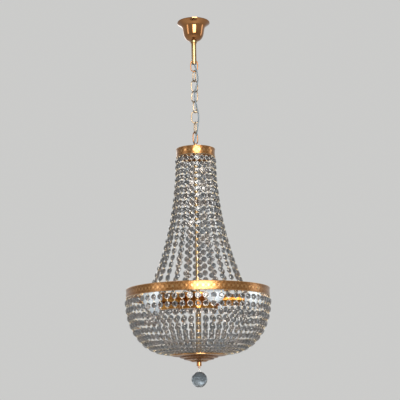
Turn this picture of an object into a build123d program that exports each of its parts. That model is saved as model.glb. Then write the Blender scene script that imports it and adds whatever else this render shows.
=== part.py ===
from build123d import *
from math import atan2, cos, degrees, pi, radians, sin, tan
import os

# Crystal basket chandelier hung from the ceiling by a short rod and a chain.
# Millimetres, +Z up. The origin is the centre of the bracket's screw pattern, on the ceiling.
# The front is -Y. Everything hangs below z = 0.

fit = 0.1            # radial play of a shaft in its hole
seat = 0.3           # gap between loose pieces that rest beside each other

# ---- ceiling bracket, drop tube and canopy
strap_length = 72
strap_width = 18
strap_thickness = 2
strap_drop = 8       # the middle of the strap stands this far off the ceiling
strap_middle = 42    # length of that lowered middle
strap_foot = 12      # length of each foot against the ceiling
ceiling_screw_spacing = 60
ceiling_screw_hole = 5

tube_diameter = 13
tube_bore = 11.4
tube_end_z = -115
thread_diameter = 10
thread_bore = 7.2
thread_top_z = -2
tube_shoulder_z = -16
nut_flats = 14
nut_height = 4

block_width = 9
block_length = 20
block_height = 8
block_screw_hole = 3.2
block_screw_depth = 3
window_top_z = -22
window_bottom_z = -48

canopy_rim = 42.8
canopy_mouth_band = 2
canopy_depth = 51
canopy_wall = 0.9
canopy_neck = 9.5             # the bell's radius where it turns in to the tube
canopy_flank = [
    (38.6, -5.2), (33.8, -9.2), (30.3, -14.2), (28.6, -20.6), (26.9, -31), (23.8, -40.5), (17.5, -47.9),
]
canopy_lining_points = 16
collar_radius = 8.6
collar_height = 6
collar_round = 1
grub_diameter = 3

# ---- chain
link_length = 34
link_width = 21
link_wire = 2.8
link_end_radius = 8.4          # centre line of the wire at the link's ends
link_play = 0.3                # between two links where one hangs in the next
hanger_loop_z = -120           # centre of the loop in the drop tube
chain_turns = [0, -66, 26, -32, 66, 6, -75, 50]   # each loop's plane, degrees from the X axis
chain_pitch = link_length - 2 * link_wire - link_play

# ---- supply cable
cable_diameter = 3.6
cable_bore_y = -3.5            # the cable passes the loop's wire inside the tube
cable_arc_share = 0.45         # of the shorter run beside a bend
cable_boss_radius = 8.6        # where it passes down through the crown's boss
cable_boss_turn = 133

# ---- crown
crown_top_z = -347.1
band_height = 22
band_wall = 1.0
band_rim = 0.8                 # rolled edge, standing proud of the wall
lip_thickness = 1.2
crown_radius = 51
crown_lip = 5.4
loop_shank = 5
loop_nut_flats = 9
loop_nut_height = 3
boss_radius = 14
boss_thickness = 4
crown_arm_width = 8
crown_arm_thickness = 2
crown_arm_depth = 5            # from the band's top down to the arms

# ---- centre tube, hub and lower column
centre_tube = 10
centre_bore = 8
tube_plug = 8
cable_slot_width = 4.4
cable_slot_top_z = -362
cable_slot_bottom_z = -392
hub_radius = 50
hub_top_z = -722
hub_height = 41
hub_wall = 1.5
column_diameter = 14.5
column_bore = 6
column_spigot = 9.8
column_nut_flats = 16
column_nut_height = 5
terminal_radius = 14
terminal_height = 12

# ---- main band, its arms and the inner ring
main_radius = 182
main_top_z = -711.6
main_lip = 5.4
arm_count = 5
arm_width = 10
arm_thickness = 3
arm_tab = 9
ring_radius = 122
ring_width = 9
ring_thickness = 1.5
screw_diameter = 3
screw_head = 5
screw_head_height = 0.7
screw_length = 6

# ---- lamps
lamp_count = 5
lamp_turn = -72.8              # the first lamp, right of the front
lamp_axis_z = -739.4
cup_diameter = 30
cup_wall = 1
cup_mouth = 117
cup_nipple = 10
cup_nipple_depth = 8            # the nipple reaches this far into the hub
cup_corner = 3
cup_floor = 2
holder_diameter = 26.8
holder_end = 110
cap_diameter = 14
cap_start = 86.5
cap_length = 25
cap_contact = 2                # the contact's rise beyond the cap's shell
bulb_diameter = 45
bulb_centre = 140
bulb_wall = 1
neck_radius = 6.8
neck_angle = 138               # the globe's arc, from its tip to the start of the neck

# ---- crystal strands
bead_thickness_share = 0.5     # thickness of an octagon over its width
bead_table_share = 0.55        # width of its flat table over its width
wire_thickness = 0.9
wire_inset = 1.2               # the wire reaches this far into a crystal
pin_head = 2.6
pin_head_height = 0.8
pin_rise = 0.9                 # a pin's tilted head stands this far over the lip
pin_hole = 2.2
upper_count = 24
upper_turn = -86.7             # one strand a little right of the front
upper_small_beads = 5
upper_small = 12
upper_large = 14
upper_large_beads = 15
upper_radius = 49.8            # centre of the topmost crystals
upper_flare = 2.1              # the skirt widens with this power of the drop
upper_curve_points = 10
basket_count = 60
basket_sizes = [14, 12, 10, 8]
basket_radius = 181            # centre of the topmost crystals
basket_fullness = 2.15         # 2 would be an ellipse
basket_curve_points = 12
basket_link = 4.5              # wire between two crystals
bead_play = 0.35               # between the crystals of neighbouring strands
strand_groups = ["front", "right", "back", "left"]

# ---- bottom dish and pendant
dish_radius = 68
dish_rim_z = -876.5
dish_flange = 6
dish_wall = 1.2
dish_bottom_z = -893
dish_steps = [(49, -3.5), (48, -6), (38.5, -8), (37, -10.5), (24, -13)]   # radius, height from the rim
dish_foot = 18                 # radius of the flat at the bottom
dish_hole = 1.8
finial_diameter = 12.5
finial_height = 10.5
eye_radius = 2.4               # centre lines of the wires here
eye_wire = 1.4
hook_wire = 1.2
hook_width = 5
hook_end_radius = 2.4
hook_play = 0.1
hook_length = 9.4
ball_diameter = 40
ball_sides = 16
ball_bands = 10
ball_table_angle = 14          # half angle of the flat table at each pole
ball_centre_z = -936.5
tab_width = 6
tab_thickness = 2
tab_hole = 2.4
tab_rise = 2.1                 # from the hole's centre to the tab's top

os.makedirs("parts", exist_ok=True)


def save(piece, label):
    """Label a finished piece and write it under that name."""
    piece.label = label
    export_step(piece, f"parts/{label}.step")


def direction(turn):
    """Horizontal unit vector at an angle from +X."""
    return Vector(cos(radians(turn)), sin(radians(turn)), 0)


def upright(turn, z=0):
    """Vertical plane through the Z axis: local x is the direction, local y is up."""
    way = direction(turn)
    return Plane(origin=(0, 0, z), x_dir=way, z_dir=way.cross(Vector(0, 0, 1)))


def oval_ring(turn, z, width, length, end_radius, wire):
    """Closed oval of round wire, its end arcs and flatter side arcs tangent to each other."""
    end_centre = length / 2 - end_radius
    side_radius = ((width / 2) ** 2 + end_centre**2 - end_radius**2) / (width - 2 * end_radius)
    side_centre = side_radius - width / 2
    half_side = degrees(atan2(end_centre, side_centre))
    with BuildPart() as ring:
        with BuildLine(upright(turn, z)) as path:
            CenterArc((0, end_centre), end_radius, half_side, 180 - 2 * half_side)
            CenterArc((side_centre, 0), side_radius, 180 - half_side, 2 * half_side)
            CenterArc((0, -end_centre), end_radius, 180 + half_side, 180 - 2 * half_side)
            CenterArc((-side_centre, 0), side_radius, -half_side, 2 * half_side)
        with BuildSketch(Plane(origin=path.line @ 0, z_dir=path.line % 0)):
            Circle(wire / 2)
        sweep()
    return ring.part


def chain_ring(number, extra=0):
    """Loop number 0 is in the drop tube, 7 is on the crown."""
    z = hanger_loop_z - number * chain_pitch
    return oval_ring(
        chain_turns[number], z, link_width - link_wire, link_length - link_wire,
        link_end_radius, link_wire + extra,
    )


def hex_nut(z, flats, height, bore):
    """Nut standing on z."""
    with BuildPart() as nut:
        with BuildSketch(Plane.XY.offset(z)):
            RegularPolygon(flats / 2, 6, major_radius=False)
            Circle(bore / 2 + fit, mode=Mode.SUBTRACT)
        extrude(amount=height)
    return nut.part


# ================================================================ ceiling fixing
strap_low = -strap_drop - strap_thickness
foot_start = strap_length / 2 - strap_foot
with BuildPart() as ceiling_bracket:
    with BuildSketch(Plane.XZ) as side:
        with BuildLine():
            Polyline(
                (0, -strap_drop), (strap_middle / 2 - strap_thickness, -strap_drop),
                (foot_start, 0), (strap_length / 2, 0), (strap_length / 2, -strap_thickness),
                (foot_start + strap_thickness / 2, -strap_thickness),
                (strap_middle / 2, strap_low), (0, strap_low), close=True,
            )
        make_face()
        mirror(about=Plane.YZ)
    extrude(amount=strap_width / 2, both=True)
    with BuildSketch(Plane.XY):
        with GridLocations(ceiling_screw_spacing, 0, 2, 1):
            Circle(ceiling_screw_hole / 2)
        Circle(thread_diameter / 2 + fit)
    extrude(amount=strap_low - 1, mode=Mode.SUBTRACT)
save(ceiling_bracket.part, "ceiling_bracket")

with BuildPart() as drop_tube:
    with BuildSketch(Plane.XZ):
        with BuildLine():
            Polyline(
                (thread_bore / 2, thread_top_z), (thread_diameter / 2, thread_top_z),
                (thread_diameter / 2, tube_shoulder_z), (tube_diameter / 2, tube_shoulder_z),
                (tube_diameter / 2, tube_end_z), (tube_bore / 2, tube_end_z),
                (tube_bore / 2, tube_shoulder_z - 2), (thread_bore / 2, tube_shoulder_z - 2),
                close=True,
            )
        make_face()
    revolve()
    add(chain_ring(0, extra=2 * fit), mode=Mode.SUBTRACT)
    window_z = (window_top_z + window_bottom_z) / 2
    with BuildSketch(Plane(origin=(0, 0, window_z), x_dir=(0, 0, 1), z_dir=(1, 0, 0))):
        SlotOverall(window_top_z - window_bottom_z, cable_diameter + 2 * seat)
    extrude(amount=tube_diameter, mode=Mode.SUBTRACT)
save(drop_tube.part, "drop_tube")

tube_nuts = Compound(
    children=[
        hex_nut(-strap_drop, nut_flats, nut_height, thread_diameter),
        hex_nut(strap_low - nut_height, nut_flats, nut_height, thread_diameter),
    ]
)
save(tube_nuts, "tube_nuts")
save(chain_ring(0), "hanger_loop")

block_x = nut_flats / 2 / cos(radians(30)) + 1 + block_width / 2
with BuildPart() as terminal_block:
    with BuildSketch(Plane.XY.offset(strap_low)):
        with Locations((block_x, 0)):
            Rectangle(block_width, block_length)
    extrude(amount=-block_height)
    fillet(terminal_block.edges().filter_by(Axis.Z), 1)
    with BuildSketch(Plane.XY.offset(strap_low - block_height)):
        with Locations((block_x, 0)):
            with GridLocations(0, block_length / 3, 1, 3):
                Circle(block_screw_hole / 2)
    extrude(amount=block_screw_depth, mode=Mode.SUBTRACT)
save(terminal_block.part, "terminal_block")

# ================================================================ canopy, slides on the tube
canopy_profile = [(canopy_rim, -canopy_mouth_band), *canopy_flank, (canopy_neck, -canopy_depth)]
with BuildPart() as canopy:
    with BuildSketch(Plane.XZ):
        with BuildLine():
            flank = Spline(canopy_profile)
            lining_points = []
            for k in range(canopy_lining_points + 1):
                along = flank % (k / canopy_lining_points)
                inward = Vector(along.Y, -along.X)
                lining_points.append(flank @ (k / canopy_lining_points) + inward * canopy_wall)
            lining = Spline(lining_points)
            Polyline(flank @ 0, (canopy_rim, 0), (canopy_rim - canopy_wall, 0), lining @ 0)
            Polyline(
                flank @ 1, (tube_diameter / 2 + seat, -canopy_depth),
                (tube_diameter / 2 + seat, -canopy_depth + canopy_wall), lining @ 1,
            )
        make_face()
    revolve()
save(canopy.part, "canopy")

collar_z = -canopy_depth - collar_height
with BuildPart() as canopy_collar:
    with BuildSketch(Plane.XY.offset(collar_z)):
        Circle(collar_radius)
        Circle(tube_diameter / 2 + fit, mode=Mode.SUBTRACT)
    extrude(amount=collar_height)
    fillet(canopy_collar.edges().group_by(Axis.Z)[0].sort_by(SortBy.RADIUS)[-1], collar_round)
    with BuildSketch(Plane(origin=(0, 0, collar_z + collar_height / 2), z_dir=(0, 1, 0))):
        Circle(grub_diameter / 2)
    extrude(amount=collar_radius + 1, mode=Mode.SUBTRACT)
save(canopy_collar.part, "canopy_collar")

with BuildPart() as canopy_grub_screw:
    with BuildSketch(
        Plane(origin=(0, tube_diameter / 2 + fit, collar_z + collar_height / 2), z_dir=(0, 1, 0))
    ):
        Circle(grub_diameter / 2 - fit / 2)
    extrude(amount=collar_radius - tube_diameter / 2)
save(canopy_grub_screw.part, "canopy_grub_screw")

# ================================================================ chain
for number in range(1, 7):
    save(chain_ring(number), f"chain_link_{number}")

# ================================================================ crown
loop_bottom_z = hanger_loop_z - 7 * chain_pitch - link_length / 2
boss_top_z = crown_top_z - crown_arm_depth + boss_thickness - crown_arm_thickness
boss_bottom_z = boss_top_z - boss_thickness
centre_top_z = boss_bottom_z

with BuildPart() as crown_loop:
    add(chain_ring(7))
    with BuildSketch(Plane.XY.offset(loop_bottom_z + link_wire / 2)):
        Circle(loop_shank / 2)
    extrude(amount=centre_top_z - tube_plug + 1 - loop_bottom_z - link_wire / 2)
    with BuildSketch(Plane.XY.offset(boss_top_z)):
        RegularPolygon(loop_nut_flats / 2, 6, major_radius=False)
    extrude(amount=loop_nut_height)
save(crown_loop.part, "crown_loop")


def hoop_inside(radius):
    """Inner radius of a hoop of a given overall radius."""
    return radius - band_rim - band_wall


def hang_radius(radius):
    """Where the strands' pins stand in a hoop's lip: their heads just clear its wall."""
    return hoop_inside(radius) - pin_head / 2 - seat


def band(radius, top_z, lip, count, turn):
    """Plain hoop with two rolled edges and an inner lip that is drilled for the strands."""
    wall = radius - band_rim
    bottom_z = top_z - band_height
    with BuildPart() as hoop:
        with BuildSketch(Plane.XZ):
            with BuildLine():
                Polyline(
                    (wall, top_z - band_rim), (wall, bottom_z + band_rim),
                    (wall - band_wall, bottom_z), (wall - lip, bottom_z),
                    (wall - lip, bottom_z + lip_thickness),
                    (wall - band_wall, bottom_z + lip_thickness),
                    (wall - band_wall, top_z - band_rim), close=True,
                )
            make_face()
            with Locations((wall, top_z - band_rim), (wall, bottom_z + band_rim)):
                Circle(band_rim)
        revolve()
        with BuildSketch(Plane.XY.offset(bottom_z)):
            with PolarLocations(hang_radius(radius), count, turn):
                Circle(pin_hole / 2)
        extrude(amount=lip_thickness, mode=Mode.SUBTRACT)
    return hoop


crown_band = band(crown_radius, crown_top_z, crown_lip, upper_count, upper_turn)
save(crown_band.part, "crown_band")

crown_inside = hoop_inside(crown_radius)
with BuildPart() as crown_spider:
    with BuildSketch(Plane.XY.offset(crown_top_z - crown_arm_depth - crown_arm_thickness)):
        with PolarLocations(0, 2, 45, 90, endpoint=True):
            Rectangle(2 * crown_inside, crown_arm_width)
        Circle(crown_inside - fit, mode=Mode.INTERSECT)
    extrude(amount=crown_arm_thickness)
    with BuildSketch(Plane.XY.offset(boss_bottom_z)):
        Circle(boss_radius)
    extrude(amount=boss_thickness)
    with BuildSketch(Plane.XY.offset(boss_bottom_z)):
        Circle(loop_shank / 2 + fit)
        with PolarLocations(cable_boss_radius, 1, cable_boss_turn):
            Circle(cable_diameter / 2 + seat)
    extrude(amount=boss_thickness, mode=Mode.SUBTRACT)
save(crown_spider.part, "crown_spider")

hub_bottom_z = hub_top_z - hub_height
centre_bottom_z = hub_top_z - hub_wall - 5
with BuildPart() as centre_tube_part:
    with BuildSketch(Plane.XY.offset(centre_top_z)):
        Circle(centre_tube / 2)
    extrude(amount=centre_bottom_z - centre_top_z)
    with BuildSketch(Plane.XY.offset(centre_bottom_z)):
        Circle(centre_bore / 2)
    extrude(amount=centre_top_z - tube_plug - centre_bottom_z, mode=Mode.SUBTRACT)
    with BuildSketch(Plane.XY.offset(centre_top_z)):
        Circle(loop_shank / 2 + fit)
    extrude(amount=-tube_plug, mode=Mode.SUBTRACT)
    slot_middle_z = (cable_slot_top_z + cable_slot_bottom_z) / 2
    slot_height = cable_slot_top_z - cable_slot_bottom_z
    with BuildSketch(Plane((0, 0, slot_middle_z), x_dir=(0, 0, 1), z_dir=direction(cable_boss_turn))):
        SlotOverall(slot_height, cable_slot_width)
    extrude(amount=centre_tube, mode=Mode.SUBTRACT)
save(centre_tube_part.part, "centre_tube")

# ================================================================ hub
lamp_turns = [lamp_turn + 360 / lamp_count * k for k in range(lamp_count)]
arm_turn = lamp_turn + 180 / arm_count

with BuildPart() as lamp_hub:
    with BuildSketch(Plane.XY.offset(hub_bottom_z + hub_wall)):
        Circle(hub_radius)
    extrude(amount=hub_height - hub_wall)
    fillet(lamp_hub.edges().group_by(Axis.Z)[-1], 3)
    with BuildSketch(Plane.XY.offset(hub_bottom_z + hub_wall)):
        Circle(hub_radius - hub_wall)
    extrude(amount=hub_height - 2 * hub_wall, mode=Mode.SUBTRACT)
    with BuildSketch(Plane.XY.offset(hub_top_z)):
        Circle(centre_tube / 2 + fit)
    extrude(amount=-2 * hub_wall, mode=Mode.SUBTRACT)
    for turn in lamp_turns:
        with BuildSketch(Plane(origin=(0, 0, lamp_axis_z), z_dir=direction(turn))):
            Circle(cup_nipple / 2 + fit)
        extrude(amount=hub_radius + 1, mode=Mode.SUBTRACT)
save(lamp_hub.part, "lamp_hub")

with BuildPart() as hub_cover:
    with BuildSketch(Plane.XY.offset(hub_bottom_z)):
        Circle(hub_radius)
    extrude(amount=hub_wall)
    chamfer(hub_cover.edges().group_by(Axis.Z)[0], 0.8)
    with BuildSketch(Plane.XY.offset(hub_bottom_z)):
        Circle(column_spigot / 2 + fit)
    extrude(amount=hub_wall, mode=Mode.SUBTRACT)
save(hub_cover.part, "hub_cover")

column_nut_z = hub_bottom_z + hub_wall
spigot_top_z = column_nut_z + column_nut_height + 4
column_bottom_z = dish_bottom_z - finial_height + 3
with BuildPart() as lower_column:
    with BuildSketch(Plane.XZ):
        with BuildLine():
            Polyline(
                (column_bore / 2, spigot_top_z), (column_spigot / 2, spigot_top_z),
                (column_spigot / 2, hub_bottom_z), (column_diameter / 2, hub_bottom_z),
                (column_diameter / 2, dish_bottom_z + dish_wall),
                (column_spigot / 2, dish_bottom_z + dish_wall),
                (column_spigot / 2, column_bottom_z), (column_bore / 2, column_bottom_z), close=True,
            )
        make_face()
    revolve()
save(lower_column.part, "lower_column")
save(hex_nut(column_nut_z, column_nut_flats, column_nut_height, column_spigot), "column_nut")

terminal_z = column_nut_z + column_nut_height
with BuildPart() as hub_terminal:
    with BuildSketch(Plane.XY.offset(terminal_z)):
        Circle(terminal_radius)
    extrude(amount=terminal_height)
    fillet(hub_terminal.edges().group_by(Axis.Z)[-1], 1)
    with BuildSketch(Plane.XY.offset(terminal_z)):
        Circle(column_spigot / 2 + fit)
    extrude(amount=spigot_top_z - terminal_z + seat, mode=Mode.SUBTRACT)
save(hub_terminal.part, "hub_terminal")

# ================================================================ main band and ring
main_band = band(main_radius, main_top_z, main_lip, basket_count, -90)
main_inside = hoop_inside(main_radius)
screw_z = hub_top_z + arm_thickness - arm_tab / 2
with main_band:
    with PolarLocations(main_radius, arm_count, arm_turn):
        with Locations((0, 0, screw_z)):
            Cylinder(screw_diameter / 2 + fit, 10, rotation=(0, 90, 0), mode=Mode.SUBTRACT)
save(main_band.part, "main_band")

with BuildPart() as main_spider:
    with BuildSketch(Plane.XY.offset(hub_top_z)):
        with PolarLocations(main_inside / 2, arm_count, arm_turn):
            Rectangle(main_inside, arm_width)
        Circle(boss_radius)
        Circle(main_inside - fit, mode=Mode.INTERSECT)
    extrude(amount=arm_thickness)
    with BuildSketch(Plane.XY.offset(hub_top_z + arm_thickness)):
        with PolarLocations(main_inside - 1, arm_count, arm_turn):
            Rectangle(4, arm_width)
        Circle(main_inside - fit, mode=Mode.INTERSECT)
    extrude(amount=-arm_tab)
    with BuildSketch(Plane.XY.offset(hub_top_z)):
        Circle(centre_tube / 2 + fit)
        with PolarLocations(ring_radius + 1, upper_count, upper_turn):
            Circle(pin_head)
    extrude(amount=arm_thickness, mode=Mode.SUBTRACT)
    with PolarLocations(main_inside, arm_count, arm_turn):
        with Locations((0, 0, screw_z)):
            Cylinder(screw_diameter / 2 + fit, 10, rotation=(0, 90, 0), mode=Mode.SUBTRACT)
save(main_spider.part, "main_spider")

with BuildPart() as band_screw:
    with BuildSketch(Plane.YZ.offset(main_radius - band_rim)):
        with Locations((0, screw_z)):
            Circle(screw_head / 2)
    extrude(amount=screw_head_height)
    with BuildSketch(Plane.YZ.offset(main_radius - band_rim)):
        with Locations((0, screw_z)):
            Circle(screw_diameter / 2)
    extrude(amount=-screw_length)
band_screws = Compound(children=[place * band_screw.part for place in PolarLocations(0, arm_count, arm_turn)])
save(band_screws, "band_screws")

ring_z = hub_top_z + arm_thickness
with BuildPart() as inner_ring:
    with BuildSketch(Plane.XY.offset(ring_z)):
        Circle(ring_radius + ring_width / 2)
        Circle(ring_radius - ring_width / 2, mode=Mode.SUBTRACT)
        with PolarLocations(ring_radius, upper_count, upper_turn):
            Circle(pin_hole / 2 + seat, mode=Mode.SUBTRACT)
    extrude(amount=ring_thickness)
save(inner_ring.part, "inner_ring")

# ================================================================ lamps
for number, turn in enumerate(lamp_turns, start=1):
    side = upright(turn, lamp_axis_z)
    contact_start = cap_start - cap_contact
    cap_end = cap_start + cap_length
    axis = Axis((0, 0, lamp_axis_z), direction(turn))
    cup_radius = cup_diameter / 2
    nipple_start = hub_radius - cup_nipple_depth
    holder_start = hub_radius + cup_floor
    with BuildPart() as lamp_cup:
        with BuildSketch(side):
            with BuildLine():
                Polyline(
                    (nipple_start, 0), (nipple_start, cup_nipple / 2), (hub_radius + fit, cup_nipple / 2),
                    (hub_radius + fit, cup_radius - cup_corner), (hub_radius + cup_corner, cup_radius),
                    (cup_mouth, cup_radius), (cup_mouth, cup_radius - cup_wall),
                    (hub_radius + cup_corner, cup_radius - cup_wall), (holder_start, cup_radius - cup_corner),
                    (holder_start, 0), close=True,
                )
            make_face()
            with Locations((cup_mouth - cup_wall, cup_radius)):
                Circle(cup_wall)
        revolve(axis=axis)
    save(lamp_cup.part, f"lamp_cup_{number}")

    with BuildPart() as lampholder:
        with BuildSketch(side):
            with BuildLine():
                Polyline(
                    (holder_start, 0), (holder_start, holder_diameter / 2 - cup_corner),
                    (holder_start + cup_corner, holder_diameter / 2), (holder_end, holder_diameter / 2),
                    (holder_end, cap_diameter / 2 + seat), (contact_start - seat, cap_diameter / 2 + seat),
                    (contact_start - seat, 0), close=True,
                )
            make_face()
        revolve(axis=axis)
    save(lampholder.part, f"lampholder_{number}")

    with BuildPart() as bulb_cap:
        with BuildSketch(side):
            with BuildLine():
                Polyline(
                    (contact_start, 0), (contact_start, 2.5), (cap_start, 4.5),
                    (cap_start + 1.5, cap_diameter / 2),
                    (cap_end, cap_diameter / 2), (cap_end, 0), close=True,
                )
            make_face()
        revolve(axis=axis)
    save(bulb_cap.part, f"bulb_cap_{number}")

    with BuildPart() as bulb:
        with BuildSketch(side):
            with BuildLine():
                skin = CenterArc((bulb_centre, 0), bulb_diameter / 2, 0, neck_angle)
                Spline(skin @ 1, (cap_end, neck_radius), tangents=(skin % 1, (-1, 0)))
                inside = CenterArc((bulb_centre, 0), bulb_diameter / 2 - bulb_wall, 0, neck_angle)
                Spline(inside @ 1, (cap_end, neck_radius - bulb_wall), tangents=(inside % 1, (-1, 0)))
                Line((cap_end, neck_radius), (cap_end, neck_radius - bulb_wall))
                Line(skin @ 0, inside @ 0)
            make_face()
        revolve(axis=axis)
    save(bulb.part, f"bulb_{number}")


# ================================================================ crystal strands
def crystal(size):
    """Octagonal crystal: a flat table on each side and eight bevels round each."""
    with BuildPart() as octagon:
        with BuildSketch():
            RegularPolygon(size / 2, 8, major_radius=False, rotation=22.5)
        with BuildSketch(Plane.XY.offset(size * bead_thickness_share / 2)):
            RegularPolygon(size * bead_table_share / 2, 8, major_radius=False, rotation=22.5)
        loft(ruled=True)
        mirror(about=Plane.XY)
    return octagon.part


def wire_between(start, end):
    """Square wire from one point to another in the XZ plane."""
    run = end - start
    place = Plane(origin=start, x_dir=(0, 1, 0), z_dir=run)
    with BuildPart() as wire:
        with BuildSketch(place):
            Rectangle(wire_thickness, wire_thickness)
        extrude(amount=run.length)
    return wire.part


def pinned(start, end):
    """Wire from one point to another with a square head on its far end."""
    head = end + (end - start).normalized() * pin_head_height
    with BuildPart() as pin:
        add(wire_between(start, end))
        with BuildSketch(Plane(origin=end, x_dir=(0, 1, 0), z_dir=head - end)):
            Rectangle(pin_head, pin_head)
        extrude(amount=pin_head_height)
    return pin.part


def strung(curve, sizes, top_end, bottom_end):
    """One strand in the XZ plane: crystals set evenly along a curve, their wires and both end pins."""
    gap = (curve.length - sum(sizes)) / (len(sizes) + 1)
    pieces = []
    station = 0
    previous = None
    for size in sizes:
        station += gap + size / 2
        centre = curve.position_at(station, PositionMode.LENGTH)
        down = curve.tangent_at(station, PositionMode.LENGTH)
        station += size / 2
        place = Plane(origin=centre, x_dir=(0, 1, 0), z_dir=(-down.Z, 0, down.X))
        pieces.append(place.location * crystal(size))
        top = centre - down * (size / 2 - wire_inset)
        if previous is None:
            pieces.append(pinned(top, top_end))
        else:
            pieces.append(wire_between(previous, top))
        previous = centre + down * (size / 2 - wire_inset)
    pieces.append(pinned(previous, bottom_end))
    with BuildPart() as strand:
        add(pieces)
    return strand.part


def hung(strand, count, turn, gathered, name):
    """Copies of a strand round the axis, gathered in groups from the front anticlockwise from above."""
    step = 360 / count
    for group, side_name in enumerate(gathered):
        share = count // len(gathered)
        start = turn + step * (group * share - (share - 1) // 2)
        turned = [start + step * k for k in range(share)]
        strands = [Rot(0, 0, angle) * strand for angle in turned]
        save(Compound(children=strands), f"{name}_{side_name}")


upper_start_z = crown_top_z - band_height
upper_end_z = ring_z + ring_thickness
skirt_points = []
for k in range(upper_curve_points + 1):
    share = k / upper_curve_points
    drop = share * (upper_start_z - upper_end_z)
    skirt_points.append(
        Vector(upper_radius + (ring_radius - upper_radius) * share**upper_flare, 0, upper_start_z - drop)
    )
upper_strand = strung(
    Spline(skirt_points, mode=Mode.PRIVATE),
    [upper_small] * upper_small_beads + [upper_large] * upper_large_beads,
    Vector(hang_radius(crown_radius), 0, upper_start_z + lip_thickness + pin_rise),
    Vector(ring_radius + 1, 0, ring_z - 1),
)
hung(upper_strand, upper_count, upper_turn, strand_groups, "upper_strands")

basket_start_z = main_top_z - band_height
basket_end_z = dish_rim_z + dish_flange / 2
basket_points = []
for k in range(basket_curve_points + 1):
    across = cos(radians(90 * k / basket_curve_points)) ** (2 / basket_fullness)
    along = sin(radians(90 * k / basket_curve_points)) ** (2 / basket_fullness)
    basket_points.append(
        Vector(
            dish_radius + (basket_radius - dish_radius) * across, 0,
            basket_start_z - (basket_start_z - basket_end_z) * along,
        )
    )
basket_curve = Spline(basket_points, mode=Mode.PRIVATE)


def fitting_sizes(curve):
    """The largest crystals that fit beside their neighbours, from the top of a basket strand down."""
    sizes = []
    station = 0
    while True:
        chosen = None
        for size in basket_sizes:
            low_corner = station + basket_link + size * (0.5 + tan(radians(22.5)) / 2)
            if low_corner + basket_link > curve.length:
                continue
            radius = curve.position_at(low_corner, PositionMode.LENGTH).X
            if size + bead_play <= 2 * pi * radius / basket_count:
                chosen = size
                break
        if chosen is None:
            return sizes
        sizes.append(chosen)
        station += basket_link + chosen


basket_beads = fitting_sizes(basket_curve)
basket_strand = strung(
    basket_curve,
    basket_beads,
    Vector(hang_radius(main_radius), 0, basket_start_z + lip_thickness + pin_rise),
    Vector(dish_radius - dish_wall - seat, 0, basket_end_z),
)
hung(basket_strand, basket_count, -90, strand_groups, "basket_strands")
print("crystals on a basket strand:", basket_beads, "length", round(basket_curve.length, 1))

# ================================================================ bottom dish and finial
with BuildPart() as bottom_dish:
    with BuildSketch(Plane.XZ):
        with BuildLine():
            outside = [(radius, dish_rim_z + rise) for radius, rise in dish_steps]
            inside = [(radius - dish_wall / 2, z + dish_wall) for radius, z in reversed(outside)]
            Polyline(
                (dish_radius - dish_wall, dish_rim_z + dish_flange),
                (dish_radius, dish_rim_z + dish_flange),
                (dish_radius, dish_rim_z - dish_wall), *outside, (dish_foot, dish_bottom_z),
                (column_spigot / 2 + fit, dish_bottom_z),
                (column_spigot / 2 + fit, dish_bottom_z + dish_wall),
                (dish_foot - dish_wall / 2, dish_bottom_z + dish_wall), *inside,
                (dish_radius - dish_wall, dish_rim_z), close=True,
            )
        make_face()
    revolve()
    for angle in [-90 + 360 / basket_count * k for k in range(basket_count)]:
        with BuildSketch(Plane(origin=(0, 0, basket_end_z), z_dir=direction(angle))):
            Circle(dish_hole / 2)
        extrude(amount=dish_radius + 1, mode=Mode.SUBTRACT)
save(bottom_dish.part, "bottom_dish")

finial_bottom_z = dish_bottom_z - finial_height
eye_z = finial_bottom_z - eye_radius + 0.3
with BuildPart() as finial_nut:
    with BuildSketch(Plane.XY.offset(finial_bottom_z)):
        Circle(finial_diameter / 2)
    extrude(amount=finial_height)
    chamfer(finial_nut.edges().filter_by(GeomType.CIRCLE), 0.8)
    with BuildSketch(Plane.XY.offset(dish_bottom_z)):
        Circle(column_spigot / 2 + fit)
    extrude(amount=column_bottom_z - seat - dish_bottom_z, mode=Mode.SUBTRACT)
    with Locations((0, 0, eye_z)):
        Torus(eye_radius, eye_wire / 2, rotation=(90, 0, 0))
save(finial_nut.part, "finial_nut")

hook_top_z = eye_z - eye_radius + (eye_wire + hook_wire) / 2 + hook_play
hook_bottom_z = hook_top_z - hook_length
pendant_hook = oval_ring(
    90, (hook_top_z + hook_bottom_z) / 2, hook_width, hook_length, hook_end_radius, hook_wire
)
save(pendant_hook, "pendant_hook")

with BuildPart() as crystal_ball:
    for band_number in range(ball_bands + 1):
        angle = ball_table_angle + (180 - 2 * ball_table_angle) * band_number / ball_bands
        height = ball_centre_z + ball_diameter / 2 * cos(radians(angle))
        with BuildSketch(Plane.XY.offset(height)):
            RegularPolygon(ball_diameter / 2 * sin(radians(angle)), ball_sides)
    loft(ruled=True)
    table_z = ball_centre_z + ball_diameter / 2 * cos(radians(ball_table_angle))
    tab_top_z = hook_bottom_z + tab_rise
    with BuildSketch(Plane.XZ) as tab:
        with Locations((0, (tab_top_z + table_z) / 2 - 0.5)):
            Rectangle(tab_width, tab_top_z - table_z + 1)
        fillet(tab.vertices().group_by(Axis.Y)[-1], 1.5)
    extrude(amount=tab_thickness / 2, both=True)
    with BuildSketch(Plane.XZ):
        with Locations((0, hook_bottom_z)):
            Circle(tab_hole / 2)
    extrude(amount=tab_thickness, both=True, mode=Mode.SUBTRACT)
save(crystal_ball.part, "crystal_ball")

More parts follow.
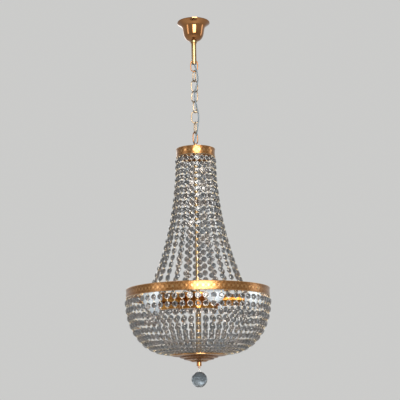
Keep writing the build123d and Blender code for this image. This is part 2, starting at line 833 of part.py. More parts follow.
# ================================================================ supply cable
# From the terminal block into the drop tube, out beside the hanger loop, down through and along
# the chain, through the crown's boss into the centre tube, and down to the terminal in the hub.
boss_way = direction(cable_boss_turn) * cable_boss_radius
cable_route = [
    (block_x, 0, strap_low - block_height), (block_x, 0, -29),
    (0.6, 0, -47), (0, cable_bore_y, -75), (0, cable_bore_y, -117),
    (7.6, -4.3, -137), (9.3, -4.0, -153), (8.2, -4.2, -169),
    (1.6, -4.9, -185), (-0.4, -5.1, -202), (1.6, -5.4, -219), (6.0, -4.6, -237),
    (9.6, -4.2, -255), (9.0, -4.1, -271), (6.8, -3.0, -287), (4.6, -1.3, -301),
    (0.0, 1.6, -317), (-3.9, 4.2, -332), (boss_way.X, boss_way.Y, -347),
    (boss_way.X, boss_way.Y, -361), (0, 0, -387), (0, 0, terminal_z + terminal_height),
]
route = [Vector(*point) for point in cable_route]
bends = []
for before, point, after in zip(route, route[1:], route[2:]):
    half_turn = radians((point - before).get_angle(after - point)) / 2
    shorter = min((point - before).length, (after - point).length)
    bends.append(cable_arc_share * shorter / tan(half_turn))
with BuildPart() as supply_cable:
    with BuildLine() as run:
        FilletPolyline(*route, radius=bends)
    with BuildSketch(Plane(origin=run.line @ 0, z_dir=run.line % 0)):
        Circle(cable_diameter / 2)
    sweep()
save(supply_cable.part, "supply_cable")
section = pi * cable_diameter**2 / 4
print("cable bends:", [round(radius, 1) for radius in bends])
cable_length = sum(edge.length for edge in run.line.edges())
print("cable length", round(cable_length, 1), "volume over section times length",
      round(supply_cable.part.volume / (section * cable_length), 4))
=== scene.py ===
"""Crystal basket chandelier: its CAD parts dressed, with the crystals, stamped gilt and cable in detail.

Shapes are in millimetres and the scene in metres. +Z is up, the ceiling is z = 0 and the front faces -Y.
"""
import math
import random

import bpy
import numpy as np
from mathutils import Matrix, Vector


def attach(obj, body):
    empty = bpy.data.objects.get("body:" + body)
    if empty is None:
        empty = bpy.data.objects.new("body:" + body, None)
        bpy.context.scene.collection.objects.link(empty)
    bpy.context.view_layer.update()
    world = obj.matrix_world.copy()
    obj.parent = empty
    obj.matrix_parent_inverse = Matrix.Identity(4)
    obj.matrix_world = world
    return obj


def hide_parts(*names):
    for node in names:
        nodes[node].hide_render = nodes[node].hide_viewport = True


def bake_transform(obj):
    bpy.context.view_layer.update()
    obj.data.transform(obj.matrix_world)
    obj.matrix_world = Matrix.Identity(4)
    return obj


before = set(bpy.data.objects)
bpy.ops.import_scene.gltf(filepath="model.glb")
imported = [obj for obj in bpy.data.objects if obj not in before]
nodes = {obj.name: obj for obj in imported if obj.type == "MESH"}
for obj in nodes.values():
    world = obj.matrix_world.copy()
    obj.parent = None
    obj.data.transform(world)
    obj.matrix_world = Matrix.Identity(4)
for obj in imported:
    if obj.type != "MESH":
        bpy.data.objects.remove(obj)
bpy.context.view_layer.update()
MM = 0.001
UP = np.array([0, 0, 1.0])
dice = random.Random(7)
scene = bpy.context.scene
scene.view_settings.view_transform = "Standard"

# ---------------------------------------------------------------- camera
PICTURE = 400            # pixels along each side
FOCAL_PIXELS = 1116
SENSOR = 36
CAMERA_PLACE = (0, -2.807, -1.060)
TILT = 11.66             # degrees: how far the camera looks up, rolls and turns
ROLL = -1.0
YAW = -0.19
camera_data = bpy.data.cameras.new("camera")
camera_data.sensor_width = SENSOR
camera_data.lens = SENSOR * FOCAL_PIXELS / PICTURE
camera = bpy.data.objects.new("camera", camera_data)
scene.collection.objects.link(camera)
scene.camera = camera
camera.matrix_world = (
    Matrix.Translation(CAMERA_PLACE)
    @ Matrix.Rotation(math.radians(YAW), 4, "Z")
    @ Matrix.Rotation(math.radians(90 + TILT), 4, "X")
    @ Matrix.Rotation(math.radians(ROLL), 4, "Z")
)


# ---------------------------------------------------------------- material nodes
def new_material(name):
    """A material, its node tree and its shader."""
    material = bpy.data.materials.new(name)
    material.use_nodes = True
    tree = material.node_tree
    return material, tree, tree.nodes["Principled BSDF"]


def set_sockets(material, values):
    """Sets what is the same all over the surface."""
    shader = material.node_tree.nodes["Principled BSDF"]
    for socket, value in values.items():
        shader.inputs[socket].default_value = value


def noise(tree, scale, detail=3.0):
    """Noise in the object's own space."""
    place = tree.nodes.new("ShaderNodeTexCoord")
    made = tree.nodes.new("ShaderNodeTexNoise")
    made.inputs["Scale"].default_value = scale
    made.inputs["Detail"].default_value = detail
    tree.links.new(place.outputs["Object"], made.inputs["Vector"])
    return made.outputs["Fac"]


def attribute(tree, name):
    """A number that the mesh holds at each point."""
    made = tree.nodes.new("ShaderNodeAttribute")
    made.attribute_name = name
    return made.outputs["Fac"]


def combine(tree, operation, first, second):
    """One number from two."""
    made = tree.nodes.new("ShaderNodeMath")
    made.operation = operation
    tree.links.new(first, made.inputs[0])
    tree.links.new(second, made.inputs[1])
    return made.outputs[0]


def ramp(tree, source, *stops):
    """Colours by a number, from stops of (number, colour)."""
    made = tree.nodes.new("ShaderNodeValToRGB")
    elements = made.color_ramp.elements
    while len(elements) < len(stops):
        elements.new(0.5)
    for element, (where, colour) in zip(elements, stops):
        element.position = where
        element.color = (*colour, 1)
    tree.links.new(source, made.inputs["Fac"])
    return made.outputs["Color"]


def spread(tree, source, low, high):
    """A number from 0 to 1, stretched from low to high."""
    made = tree.nodes.new("ShaderNodeMapRange")
    made.inputs["To Min"].default_value = low
    made.inputs["To Max"].default_value = high
    tree.links.new(source, made.inputs["Value"])
    return made.outputs["Result"]


def bump(tree, shader, source, depth):
    """Fine marks, depth metres deep."""
    made = tree.nodes.new("ShaderNodeBump")
    made.inputs["Distance"].default_value = depth
    made.inputs["Strength"].default_value = 1
    tree.links.new(source, made.inputs["Height"])
    tree.links.new(made.outputs["Normal"], shader.inputs["Normal"])


# ---------------------------------------------------------------- materials
SPARKLE_SCALE = 330         # of the noise that paints a random speckle of glints and shade on the stamped gilt
SPARKLE = 0.45              # how far that painted speckle moves the gilt from dark to bright
LEAD_GLASS = 1.64        # index of refraction


def surface(name, dark, light, rough, drift, grain, depth, metallic=1):
    """Colour and roughness that drift together with slow noise, under fine marks."""
    material, tree, shader = new_material(name)
    slow = noise(tree, drift)
    tree.links.new(ramp(tree, slow, (0.3, dark), (0.7, light)), shader.inputs["Base Color"])
    tree.links.new(spread(tree, slow, *rough), shader.inputs["Roughness"])
    bump(tree, shader, noise(tree, grain, 2), depth)
    set_sockets(material, {"Metallic": metallic})
    return material


def stamped(name, deep, middle, high, grain, depth):
    """Gilt on a relief, with painted shade in its hollows and a painted highlight on its crests, which are
    also smoother.
    """
    material, tree, shader = new_material(name)
    relief = attribute(tree, "relief")
    # A random speckle of painted glints and shade, added to the relief before it sets the colour.
    sparkle = spread(tree, noise(tree, SPARKLE_SCALE, 2), -SPARKLE, SPARKLE)
    relief_with_sparkle = combine(tree, "ADD", relief, sparkle)
    # The colour follows the relief: painted shade where it is low, painted highlight where it is high.
    colour = ramp(tree, relief_with_sparkle, (0.02, deep), (0.35, middle), (0.95, high))
    tree.links.new(colour, shader.inputs["Base Color"])
    tree.links.new(spread(tree, relief, 0.34, 0.15), shader.inputs["Roughness"])
    bump(tree, shader, noise(tree, grain), depth)
    set_sockets(material, {"Metallic": 1})
    return material


def glass(name, cool, warm):
    """Cut crystal, each piece with its own faint tint."""
    material, tree, shader = new_material(name)
    tint = ramp(tree, attribute(tree, "tint"), (0.0, cool), (1.0, warm))
    tree.links.new(tint, shader.inputs["Base Color"])
    set_sockets(material, {"Transmission Weight": 1, "IOR": LEAD_GLASS, "Roughness": 0})
    return material


polished = surface("polished_brass", (0.18, 0.062, 0.014), (0.38, 0.175, 0.060),
                   rough=(0.05, 0.12), drift=14, grain=900, depth=0.000004)
# The hub and lamp cups' brass is painted brighter and more orange than the polished brass, standing in for
# their amber glints.
hub_brass = surface("hub_brass", (0.26, 0.085, 0.012), (0.78, 0.38, 0.08),
                    rough=(0.08, 0.2), drift=45, grain=900, depth=0.00001)
rod_gilt = surface("rod_gilt", (0.30, 0.185, 0.078), (0.45, 0.32, 0.17),
                   rough=(0.22, 0.32), drift=40, grain=700, depth=0.000004)
chain_brass = surface("chain_brass", (0.22, 0.145, 0.08), (0.50, 0.39, 0.26),
                      rough=(0.12, 0.28), drift=60, grain=900, depth=0.00002)
zinc = surface("zinc_steel", (0.26, 0.27, 0.28), (0.44, 0.44, 0.43),
               rough=(0.32, 0.5), drift=90, grain=1200, depth=0.00003)
wire = surface("pin_wire", (0.60, 0.48, 0.30), (0.86, 0.76, 0.58),
               rough=(0.15, 0.3), drift=200, grain=1500, depth=0.00001)
cap_metal = surface("cap_metal", (0.5, 0.5, 0.5), (0.72, 0.72, 0.72),
                    rough=(0.2, 0.35), drift=90, grain=900, depth=0.00002)
band_gilt = stamped("band_gilt", (0.10, 0.038, 0.011), (0.27, 0.118, 0.036), (0.54, 0.31, 0.13),
                    grain=900, depth=0.0001)
for lacquered, weight, rough in ((band_gilt, 0.2, 0.1), (polished, 0.4, 0.04), (rod_gilt, 0.1, 0.1)):
    set_sockets(lacquered, {"Coat Weight": weight, "Coat Roughness": rough})

crystal = glass("crystal", (0.20, 0.22, 0.24), (0.31, 0.275, 0.25))
crystal_clear = glass("crystal_clear", (0.17, 0.205, 0.235), (0.17, 0.205, 0.235))

opal = surface("opal", (0.72, 0.83, 0.92), (0.86, 0.92, 0.97),
               rough=(0.22, 0.34), drift=30, grain=700, depth=0.00002, metallic=0)
# A faint painted glow brightens the bulbs.
set_sockets(opal, {"Emission Color": (0.78, 0.88, 1, 1), "Emission Strength": 0.22})
black_plastic = surface("holder", (0.015, 0.015, 0.016), (0.03, 0.03, 0.032),
                        rough=(0.35, 0.5), drift=60, grain=900, depth=0.00004, metallic=0)
white_plastic = surface("terminal", (0.52, 0.50, 0.44), (0.62, 0.60, 0.54),
                        rough=(0.4, 0.55), drift=60, grain=900, depth=0.00004, metallic=0)
sheath = surface("cable_sheath", (0.10, 0.14, 0.17), (0.17, 0.22, 0.26),
                 rough=(0.2, 0.3), drift=50, grain=700, depth=0.00004, metallic=0)
set_sockets(sheath, {"Transmission Weight": 0.15})


# ---------------------------------------------------------------- CAD parts that show as they are
def numbered(name, count):
    """Names of equal parts, numbered from 1."""
    return [f"{name}_{k}" for k in range(1, count + 1)]


dressed = {
    polished: ["canopy", "hanger_loop", "crown_loop", "finial_nut"],
    hub_brass: ["lamp_hub", "hub_cover", *numbered("lamp_cup", 5)],
    rod_gilt: [
        "drop_tube", "canopy_collar", "centre_tube", "lower_column",
        "crown_spider", "main_spider", "inner_ring", "band_screws",
    ],
    chain_brass: numbered("chain_link", 6),
    zinc: ["ceiling_bracket", "tube_nuts", "column_nut", "canopy_grub_screw"],
    wire: ["pendant_hook"],
    white_plastic: ["terminal_block", "hub_terminal"],
    black_plastic: numbered("lampholder", 5),
    cap_metal: numbered("bulb_cap", 5),
    opal: numbered("bulb", 5),
}
for material, names in dressed.items():
    for name in names:
        mesh = nodes[name].data
        mesh.materials.clear()
        mesh.materials.append(material)


# ---------------------------------------------------------------- mesh tools
def piece(name, verts, faces, material, slot, replaces, body=None, smooth=True, **values):
    """A mesh from points in millimetres that replaces a CAD node and rides on a body, if one is named.

    Each further value is a list with one number for each point.
    """
    mesh = bpy.data.meshes.new(name)
    mesh.from_pydata((np.asarray(verts, float) * MM).tolist(), [], faces)
    mesh.materials.append(material)
    mesh.polygons.foreach_set("use_smooth", [smooth] * len(mesh.polygons))
    for key, numbers in values.items():
        layer = mesh.attributes.new(key, "FLOAT", "POINT")
        layer.data.foreach_set("value", np.asarray(numbers, np.float32))
    mesh.update()
    made = bpy.data.objects.new(name, mesh)
    scene.collection.objects.link(made)
    if body:
        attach(made, body)
    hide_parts(replaces)
    return made


def grid_faces(rows, columns):
    """Quads of a closed ring of rows by a closed ring of columns."""
    return [
        (
            row * columns + k,
            row * columns + (k + 1) % columns,
            (row + 1) % rows * columns + (k + 1) % columns,
            (row + 1) % rows * columns + k,
        )
        for row in range(rows)
        for k in range(columns)
    ]


def shifted(faces, first):
    """The same faces on points that start further on."""
    return [tuple(first + k for k in face) for face in faces]


def repeated(faces, points, count):
    """The same faces on each of count equal sets of points."""
    return [face for k in range(count) for face in shifted(faces, k * points)]


def lathe(profile, count, height):
    """Turns a closed profile of (radius, z, share) round the axis, with a relief on it.

    height(angle, row) is the relief of a row, and it stands proud along the profile's normal by that
    row's share. Returns points, faces and the relief at each point.
    """
    profile = np.array(profile, float)
    share = profile[:, 2:]
    ahead = np.roll(profile[:, :2], -1, 0) - np.roll(profile[:, :2], 1, 0)
    normal = np.stack([ahead[:, 1], -ahead[:, 0]], 1)
    normal /= np.linalg.norm(normal, axis=1, keepdims=True)
    angle = np.arange(count) * math.tau / count
    flat = np.zeros(count)
    relief = np.array([height(angle, row) if share[row] else flat for row in range(len(profile))])
    radius = profile[:, :1] + normal[:, :1] * relief * share
    z = profile[:, 1:2] + normal[:, 1:] * relief * share
    verts = np.stack([radius * np.cos(angle), radius * np.sin(angle), z], 2).reshape(-1, 3)
    return verts, [face[::-1] for face in grid_faces(len(profile), count)], relief.reshape(-1)


# ---------------------------------------------------------------- stamped hoops
BAND_HEIGHT = 22
EDGE = 0.8               # radius of the rolled edges
STRIP = BAND_HEIGHT - 4 * EDGE
STRIP_ROWS = 30
STRIP_INSET = 0.3        # how far the stamped strip lies inside the hoop's wall
RELIEF = 0.26            # how proud it stands at a relief of 1
WALL = 1.0
LIP = 5.4                # the inner lip's reach and thickness
LIP_WALL = 1.2
INNER_TOP = 2.5          # from the hoop's top down to the inner wall's end
EDGE_SHINE = 0.9         # the relief value that sets the gilt's colour on plain faces: a painted highlight on the rolled edges, a middle tone on the inner faces
INNER_SHINE = 0.35

PETALS = 8
FLOWER = 4.1             # mean radius of a flower, and how far its petals reach past it
SCALLOP = 0.9
BOSS = 1.5
SCROLL_PLACE = (6.2, 4.9)
SCROLL = 2.0             # radius and line of a scroll, and radius of its eye
SCROLL_LINE = 0.8
SCROLL_EYE = 0.9
ROPE_PLACE = 8.3         # the rope edge's distance from the middle, its line and its twist's pitch
ROPE_LINE = 1.0
ROPE_PITCH = 2.1
GROUND = 0.26            # relief of the ground between the forms


def dome(distance, radius):
    """A half round of that radius, 1 high."""
    return np.sqrt(np.clip(1 - (distance / radius) ** 2, 0, 1))


def ridge(distance, line):
    """A ridge 1 high that falls to nothing one line away."""
    return np.clip(1 - np.abs(distance) / line, 0, 1)


def motif(x, y):
    """Relief of one cell of the strip, from its middle: x along the strip and y up it."""
    angle = np.arctan2(y, x)
    distance = np.hypot(x, y * 0.92)
    petals = dome(distance, FLOWER + SCALLOP * np.cos(PETALS * angle))
    petals = petals * (0.62 + 0.38 * np.cos(PETALS * angle))
    forms = [GROUND + (1 - GROUND) * petals, dome(distance, BOSS) * 1.15]
    for side in (-1, 1):
        for end in (-1, 1):
            distance = np.hypot(x - side * SCROLL_PLACE[0], y - end * SCROLL_PLACE[1])
            forms += [ridge(distance - SCROLL, SCROLL_LINE) * 0.85, ridge(distance, SCROLL_EYE)]
    twist = 0.55 + 0.45 * np.cos(x * math.tau / ROPE_PITCH + np.sign(y))
    forms.append(ridge(np.abs(y) - ROPE_PLACE, ROPE_LINE) * twist)
    forms.append(GROUND + 0.1 * np.sin(x * 2.6 + 1.7 * np.sin(y * 1.9)) * np.sin(y * 3.1 + 0.8))
    return np.maximum.reduce(forms)


def stamped_band(node, radius, top, cells, cell_points):
    """Hoop with a stamped outer face between two rolled edges, and an inner lip at its foot."""
    wall = radius - EDGE
    foot = top - BAND_HEIGHT
    pitch = math.tau * wall / cells

    def rolled(z, first, count):
        return [
            (wall + EDGE * math.sin(t), z + EDGE * math.cos(t), 0) for t in np.linspace(first, math.pi, count)
        ]

    upper = rolled(top - EDGE, -0.9, 7)
    strip = [
        (wall - STRIP_INSET, top - 2 * EDGE - STRIP * k / (STRIP_ROWS - 1), RELIEF)
        for k in range(STRIP_ROWS)
    ]
    lower = rolled(foot + EDGE, 0, 6)
    inner = [
        (wall - WALL, foot, 0), (wall - LIP, foot, 0), (wall - LIP, foot + LIP_WALL, 0),
        (wall - WALL, foot + LIP_WALL, 0), (wall - WALL, top - INNER_TOP, 0),
    ]

    def height(angle, row):
        x = ((angle / math.tau * cells) % 1 - 0.5) * pitch
        y = (0.5 - (row - len(upper)) / (STRIP_ROWS - 1)) * STRIP
        return motif(x, np.full_like(x, y))

    verts, faces, relief = lathe(upper + strip + lower + inner, cells * cell_points, height)
    # Plain faces take a fixed relief value for the colour: a painted highlight on the rolled edges.
    shine = (
        [EDGE_SHINE] * len(upper) + [0] * len(strip)
        + [EDGE_SHINE] * len(lower) + [INNER_SHINE] * len(inner)
    )
    relief = np.maximum(relief, np.repeat(shine, cells * cell_points))
    piece(f"{node}_stamped", verts, faces, band_gilt, "stamped_gold", node, "chandelier", relief=relief)


stamped_band("crown_band", radius=51, top=-347.1, cells=25, cell_points=24)
stamped_band("main_band", radius=182, top=-711.6, cells=90, cell_points=20)

# ---------------------------------------------------------------- bottom dish
DISH_Z = -876.5          # the height that the outline's heights start from
DISH_WALL = 1.2
DISH_STEP = 1.2          # the outline's longest step between points
DISH_POINTS = 480
DISH_OUTLINE = [
    (68, 6), (68, -1.2), (62, -1.9), (56, -2.6), (49, -3.5), (48, -6), (43, -7.1),
    (38.5, -8), (37, -10.5), (31, -11.7), (24, -13), (18, -16.5), (5, -16.5),
]
LEAF_RINGS = ((49, 68, 40), (38, 48.5, 30), (18, 37, 20))    # inner and outer radius, and leaves round
STAMPED_FROM, STAMPED_TO = 19, 67

dish_profile = []
for (r0, z0), (r1, z1) in zip(DISH_OUTLINE, DISH_OUTLINE[1:]):
    steps = max(1, round(math.hypot(r1 - r0, z1 - z0) / DISH_STEP))
    for k in range(steps):
        r, z = r0 + (r1 - r0) * k / steps, z0 + (z1 - z0) * k / steps
        dish_profile.append((r, DISH_Z + z, 1 if STAMPED_FROM < r < STAMPED_TO else 0))
rim_r, rim_z = DISH_OUTLINE[0]
hole_r, hole_z = DISH_OUTLINE[-1]
dish_profile += [(hole_r, DISH_Z + hole_z, 0), (hole_r, DISH_Z + hole_z + DISH_WALL, 0)]
for r, z in reversed(DISH_OUTLINE[1:-1]):
    inset = DISH_WALL if r == rim_r else DISH_WALL / 2
    dish_profile.append((r - inset, DISH_Z + z + DISH_WALL, 0))
dish_profile.append((rim_r - DISH_WALL, DISH_Z + rim_z, 0))


def leaves(angle, row):
    """Relief of rings of veined leaves, one ring on each tread of the dish."""
    r = dish_profile[row][0]
    inner, outer, count = next(ring for ring in LEAF_RINGS if r > ring[0])
    share = np.clip((r - inner) / (outer - inner), 0, 1)
    leaf = np.abs(np.cos(angle * count / 2)) ** 0.6 * math.sin(math.pi * share) ** 0.5
    vein = np.abs(np.cos(angle * count)) ** 6 * 0.35
    return 0.8 * leaf * (0.8 - vein)


def dish_shine(r, share):
    """The relief value that sets the gilt's colour on a plain part of the dish: a painted highlight at the
    rim, a middle tone elsewhere.
    """
    if share:
        return 0
    return 0.8 if r > rim_r - 2 else 0.4


verts, faces, relief = lathe(dish_profile, DISH_POINTS, leaves)
shine = [dish_shine(r, share) for r, z, share in dish_profile]
# The gilt's colour follows the leaves' relief made a fifth stronger: painted shade in the hollows and painted
# highlight on the leaves.
relief = np.maximum(relief * 1.2, np.repeat(shine, DISH_POINTS))
piece("bottom_dish_stamped", verts, faces, band_gilt, "stamped_gold", "bottom_dish", "chandelier",
      relief=relief)


# ---------------------------------------------------------------- strings of crystals
RING_SIDES = 10          # points round a wire ring, and the radius of its ends and of its wire
RING_END = 1.3
RING_WIRE = 0.38
HOLE_SHARE = 0.13        # of a crystal's size, from its edge to a ring's end
FIRST_HOLE = 2.0         # the same in millimetres at a string's first and last crystal
LAST_HOLE = 1.6
SWING = 5                # degrees: how far crystals turn about their string, and nod on it
NOD = 2


def bead():
    """Octagonal crystal one unit wide: a table, star and kite facets and a girdle, both sides alike."""
    eighth = math.pi / 4
    girdle_radius = 0.5 / math.cos(eighth / 2)
    points, faces = [], []
    for radius, lift, offset in ((girdle_radius, 0.045, 0.5), (0.395, 0.165, 0), (0.285, 0.25, 0.5)):
        for side in (1, -1):
            for k in range(8):
                t = eighth * (k + offset)
                points.append((radius * math.cos(t), radius * math.sin(t), side * lift))
    for side in (0, 1):
        girdle, middle, table = (8 * (level + side) for level in (0, 2, 4))
        half = []
        for k in range(8):
            before, after = (k - 1) % 8, (k + 1) % 8
            half += [
                (girdle + before, girdle + k, middle + k),
                (girdle + k, middle + after, table + k, middle + k),
                (middle + k, table + k, table + before),
            ]
        half.append(tuple(table + k for k in range(8)))
        faces += [face[::-1] for face in half] if side else half
    faces += [(k, 8 + k, 8 + (k + 1) % 8, (k + 1) % 8) for k in range(8)]
    return np.array(points), faces


BEAD_POINTS, BEAD_FACES = bead()


def along(line, sizes):
    """Crystals set evenly along a line of (radius, z): the centre, way down and size of each."""
    line = np.array(line)
    run = np.concatenate([[0], np.cumsum(np.linalg.norm(np.diff(line, axis=0), axis=1))])
    gap = (run[-1] - sum(sizes)) / (len(sizes) + 1)

    def at(station):
        return np.array([np.interp(station, run, line[:, 0]), np.interp(station, run, line[:, 1])])

    places, station = [], 0
    for size in sizes:
        station += gap + size / 2
        way = at(station + 0.5) - at(station - 0.5)
        places.append((at(station), way / np.linalg.norm(way), size))
        station += size / 2
    return places


def wire_ring(start, end):
    """Points (radius, z, sideways) of a long wire ring that lies along its string."""
    run = end - start
    length = np.linalg.norm(run)
    run = run / length
    across = np.array([-run[1], run[0]])
    points = []
    for t in np.arange(RING_SIDES) * math.tau / RING_SIDES:
        c, s = math.cos(t), math.sin(t)
        reach = math.copysign(length / 2 - RING_END, c) + RING_END * c
        centre = (start + end) / 2 + run * reach + across * RING_END * s
        for corner in np.arange(0.25, 2, 0.5) * math.pi:
            proud = (run * c + across * s) * math.cos(corner) * RING_WIRE
            points.append((*(centre + proud), math.sin(corner) * RING_WIRE))
    return points


def string_rings(places, top, bottom):
    """The wire rings of one string, from its hoop through each pair of crystals to its foot."""
    starts, ends = [np.array(top)], []
    for number, (at, way, size) in enumerate(places):
        first, last = number == 0, number == len(places) - 1
        ends.append(at - way * (size / 2 - (FIRST_HOLE if first else size * HOLE_SHARE)))
        starts.append(at + way * (size / 2 - (LAST_HOLE if last else size * HOLE_SHARE)))
    ends.append(np.array(bottom))
    return [wire_ring(start, end) for start, end in zip(starts, ends)]


def bead_axes(out, side, way):
    """A crystal's width, length and thickness, turned and nodded a little at random."""
    down = out * way[0] + UP * way[1]
    face = UP * way[0] - out * way[1]
    swing = math.radians(dice.gauss(0, SWING))
    nod = math.radians(dice.gauss(0, NOD))
    width = side * math.cos(swing) + face * math.sin(swing)
    face = face * math.cos(swing) - side * math.sin(swing)
    return np.stack([
        width, down * math.cos(nod) + face * math.sin(nod), down * math.sin(nod) - face * math.cos(nod)
    ])


def strings(name, places, top, bottom, turns, node):
    """Crystals of several equal strings in one piece, and the wire rings between them in another."""
    rings = string_rings(places, top, bottom)
    beads, wires, tint = [], [], []
    for turn in turns:
        angle = math.radians(turn)
        out = np.array([math.cos(angle), math.sin(angle), 0])
        side = np.array([-math.sin(angle), math.cos(angle), 0])
        for at, way, size in places:
            beads.append(BEAD_POINTS * size @ bead_axes(out, side, way) + out * at[0] + UP * at[1])
            tint += [dice.random()] * len(BEAD_POINTS)
        wires += [np.array(ring) @ np.stack([out, UP, side]) for ring in rings]
    bead_faces = repeated(BEAD_FACES, len(BEAD_POINTS), len(beads))
    wire_faces = repeated(grid_faces(RING_SIDES, 4), RING_SIDES * 4, len(wires))
    piece(name, np.concatenate(beads), bead_faces, crystal, "crystal", node, "chandelier",
          smooth=False, tint=tint)
    piece(f"{name}_pins", np.concatenate(wires), wire_faces, wire, "hook_wire", node, "chandelier")


def sides(count, first):
    """The four sides of a ring of strings, each with its strings' angles, grouped as the CAD groups them."""
    share = count // 4
    for number, side in enumerate(("front", "right", "back", "left")):
        start = number * share - (share - 1) // 2
        yield side, [first + 360 / count * (start + k) for k in range(share)]


# The skirt: a line of (radius, z) that starts under the crown hoop and flares by a power on its way down.
SKIRT_STRINGS = 24
SKIRT_CRYSTALS = [12] * 5 + [14] * 15
SKIRT_RADIUS, SKIRT_Z = 49.8, -369.1
SKIRT_SPREAD, SKIRT_FALL = 72.2, 348.4
SKIRT_FLARE = 2.1
SKIRT_HUNG_AT, SKIRT_TIED_AT = (47.6, -367.5), (123, -719)

skirt = [
    (SKIRT_RADIUS + SKIRT_SPREAD * share**SKIRT_FLARE, SKIRT_Z - SKIRT_FALL * share)
    for share in np.linspace(0, 1, 200)
]
places = along(skirt, SKIRT_CRYSTALS)
for side, turns in sides(SKIRT_STRINGS, first=-86.7):
    strings(f"skirt_{side}", places, SKIRT_HUNG_AT, SKIRT_TIED_AT, turns, f"upper_strands_{side}")

# The bowl: a quarter of an ellipse from the main hoop in to the dish, made fuller by a power.
BOWL_STRINGS = 60
BOWL_CRYSTALS = [14] * 7 + [12, 10, 8, 8]
BOWL_FOOT, BOWL_SPREAD = 68, 113
BOWL_TOP, BOWL_DEPTH = -733.6, 139.9
BOWL_FULLNESS = 2 / 2.15
BOWL_HUNG_AT, BOWL_TIED_AT = (178.6, -732), (66.5, -873.5)

bowl = [
    (
        BOWL_FOOT + BOWL_SPREAD * max(math.cos(t), 0) ** BOWL_FULLNESS,
        BOWL_TOP - BOWL_DEPTH * math.sin(t) ** BOWL_FULLNESS,
    )
    for t in np.linspace(0, math.pi / 2, 400)
]
places = along(bowl, BOWL_CRYSTALS)
for side, turns in sides(BOWL_STRINGS, first=-90):
    strings(f"basket_{side}", places, BOWL_HUNG_AT, BOWL_TIED_AT, turns, f"basket_strands_{side}")

# ---------------------------------------------------------------- crystal ball
BALL_Z = -936.5
BALL_RADIUS = 20
BALL_SIDES = 14
BALL_ROWS = 10
LUG_HOLE_Z = -916.0
LUG_SIDES = 16
LUG_HALF = 1.0           # half of the lug's thickness
HOLE = (1.2, 1, 0)       # radius, how flat the top half is, and how far the lower half dips
LUG = (3.0, 0.72, 0.9)

points, faces = [], []
for row in range(1, BALL_ROWS + 1):
    fall = math.pi * row / (BALL_ROWS + 1)
    for k in range(BALL_SIDES):
        t = (k + row % 2 / 2) * math.tau / BALL_SIDES
        across = BALL_RADIUS * math.sin(fall)
        points.append((across * math.cos(t), across * math.sin(t), BALL_Z + BALL_RADIUS * math.cos(fall)))
for row in range(BALL_ROWS - 1):
    for k in range(BALL_SIDES):
        below = k + 1 - row % 2
        here, beside = (row * BALL_SIDES + n % BALL_SIDES for n in (k, k + 1))
        early, late = ((row + 1) * BALL_SIDES + n % BALL_SIDES for n in (below - 1, below))
        faces += [(here, early, late), (here, late, beside)]
faces += [tuple(range(BALL_SIDES)), tuple(reversed(range(len(points) - BALL_SIDES, len(points))))]

faces += shifted(grid_faces(4, LUG_SIDES), len(points))
for (radius, flat, dip), y in ((HOLE, -LUG_HALF), (LUG, -LUG_HALF), (LUG, LUG_HALF), (HOLE, LUG_HALF)):
    for k in range(LUG_SIDES):
        t = math.tau * k / LUG_SIDES
        rise = radius * math.sin(t)
        points.append((radius * math.cos(t), y, LUG_HOLE_Z + (rise * flat if rise >= 0 else rise - dip)))
piece("crystal_ball_cut", points, faces, crystal_clear, "crystal_clear", "crystal_ball", "crystal_ball",
      smooth=False, tint=[0.5] * len(points))

# ---------------------------------------------------------------- supply cable
CABLE_RADIUS = 1.8
CABLE_SIDES = 12
FIRST_LOOP_Z = -120      # middle of the chain's first loop, and the step to the next
LOOP_STEP = 28.1
ROUTE = [
    (13.583, 0, -18), (13.583, 0, -29), (0.6, 0, -47), (0, -3.5, -75), (0, -3.5, -117), (7.6, -4.3, -137),
    (9.3, -4.0, -153), (8.2, -4.2, -169), (1.6, -4.9, -185), (-0.4, -5.1, -202), (1.6, -5.4, -219),
    (6.0, -4.6, -237), (9.6, -4.2, -255), (9.0, -4.1, -271), (6.8, -3.0, -287), (4.6, -1.3, -301),
    (0.0, 1.6, -317), (-3.9, 4.2, -332), (-5.865, 6.290, -347), (-5.865, 6.290, -361), (0, 0, -387),
    (0, 0, -744.5),
]


def smooth_line(route):
    """Points along one smooth curve guided by the route."""
    curve = bpy.data.curves.new("route", "CURVE")
    curve.dimensions = "3D"
    spline = curve.splines.new("NURBS")
    spline.points.add(len(route) - 1)
    for point, place in zip(spline.points, route):
        point.co = (*[v * MM for v in place], 1)
    spline.order_u = 3
    spline.use_endpoint_u = True
    spline.resolution_u = 10
    carrier = bpy.data.objects.new("route", curve)
    line = np.array([v.co for v in bpy.data.meshes.new_from_object(carrier).vertices]) / MM
    bpy.data.objects.remove(carrier)
    return line


def tube(line):
    """A ring of points round each point of the line, without twist."""
    side = np.array([0, 1.0, 0])
    rings = []
    for point, way in zip(line, np.gradient(line, axis=0)):
        way = way / np.linalg.norm(way)
        side = side - way * side.dot(way)
        side /= np.linalg.norm(side)
        other = np.cross(way, side)
        turns = np.arange(CABLE_SIDES) * math.tau / CABLE_SIDES
        rings.append([point + (side * math.cos(t) + other * math.sin(t)) * CABLE_RADIUS for t in turns])
    return np.array(rings)


line = smooth_line(ROUTE)
rings = tube(line)
bodies = ["ceiling_mount", *numbered("link", 6), "chandelier"]
middles = [FIRST_LOOP_Z - LOOP_STEP * k for k in range(len(bodies))]
cuts = [0, *(int(np.argmin(abs(line[:, 2] - z))) for z in middles), len(line) - 1]
for k, (start, end) in enumerate(zip(cuts, cuts[1:])):
    stretch = rings[start:end + 1]
    faces = grid_faces(len(stretch), CABLE_SIDES)[:-CABLE_SIDES]
    body = {0: bodies[0], len(bodies): bodies[-1]}.get(k)
    made = piece(f"cable_{k}", stretch.reshape(-1, 3), faces, sheath, "cable_pvc", "supply_cable", body)
    if body is None:
        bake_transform(made)

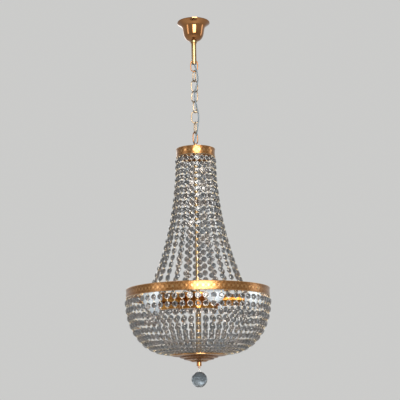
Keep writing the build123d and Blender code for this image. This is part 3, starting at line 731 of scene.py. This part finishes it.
# ---------------------------------------------------------------- floor and world
PALE = 0.60              # how bright the plain floor and backdrop look
BACKDROP = (PALE, PALE, PALE * 0.985, 1)
FLOOR_Z = -2.6
FLOOR_REACH = 60
WORLD_LIGHT = 0.7        # the world's strength where light falls on the object
FLOOR_GLOW = 0.5


def seen(tree):
    """One where a camera, a reflection or a refraction looks, else nothing."""
    paths = tree.nodes.new("ShaderNodeLightPath")
    found = paths.outputs["Is Camera Ray"]
    for ray in ("Is Glossy Ray", "Is Transmission Ray"):
        found = combine(tree, "MAXIMUM", found, paths.outputs[ray])
    return found


floor_mesh = bpy.data.meshes.new("floor")
corners = [(x * FLOOR_REACH, y * FLOOR_REACH, FLOOR_Z) for x, y in ((-1, -1), (1, -1), (1, 1), (-1, 1))]
floor_mesh.from_pydata(corners, [], [(0, 1, 2, 3)])
floor = bpy.data.objects.new("floor", floor_mesh)
scene.collection.objects.link(floor)
paint = surface("floor", (0.60, 0.60, 0.59), (0.62, 0.62, 0.61),
                rough=(0.8, 0.9), drift=1.5, grain=40, depth=0.0002, metallic=0)
set_sockets(paint, {"Emission Color": BACKDROP})
tree = paint.node_tree
glow = spread(tree, seen(tree), 0, FLOOR_GLOW)
tree.links.new(glow, tree.nodes["Principled BSDF"].inputs["Emission Strength"])
floor_mesh.materials.append(paint)

world = bpy.data.worlds.new("world")
scene.world = world
world.use_nodes = True
tree = world.node_tree
background = tree.nodes["Background"]
background.inputs["Color"].default_value = BACKDROP
tree.links.new(spread(tree, seen(tree), WORLD_LIGHT, 1.0), background.inputs["Strength"])


# ---------------------------------------------------------------- lamps
def lamp(name, place, target, width, height, power, colour=(1, 1, 1)):
    """A soft rectangular lamp, in metres and watts, that the camera doesn't see."""
    data = bpy.data.lights.new(name, "AREA")
    data.shape = "RECTANGLE"
    data.size = width
    data.size_y = height
    data.energy = power
    data.color = colour
    made = bpy.data.objects.new(name, data)
    scene.collection.objects.link(made)
    made.location = place
    made.rotation_euler = (Vector(target) - Vector(place)).to_track_quat("-Z", "Y").to_euler()
    made.visible_camera = False


lamp("key", (0.42, -2.8, 0.10), (0, 0, -0.4), width=1.6, height=2.1, power=135, colour=(1, 0.96, 0.90))
lamp("left", (-2.4, -1.2, -0.2), (0, 0, -0.6), width=0.7, height=1.5, power=7)
lamp("right", (2.4, 0.4, -0.2), (0, 0, -0.6), width=0.7, height=1.5, power=6)
lamp("back", (-0.8, 2.4, 0.3), (0, 0, -0.6), width=1.2, height=0.9, power=5)
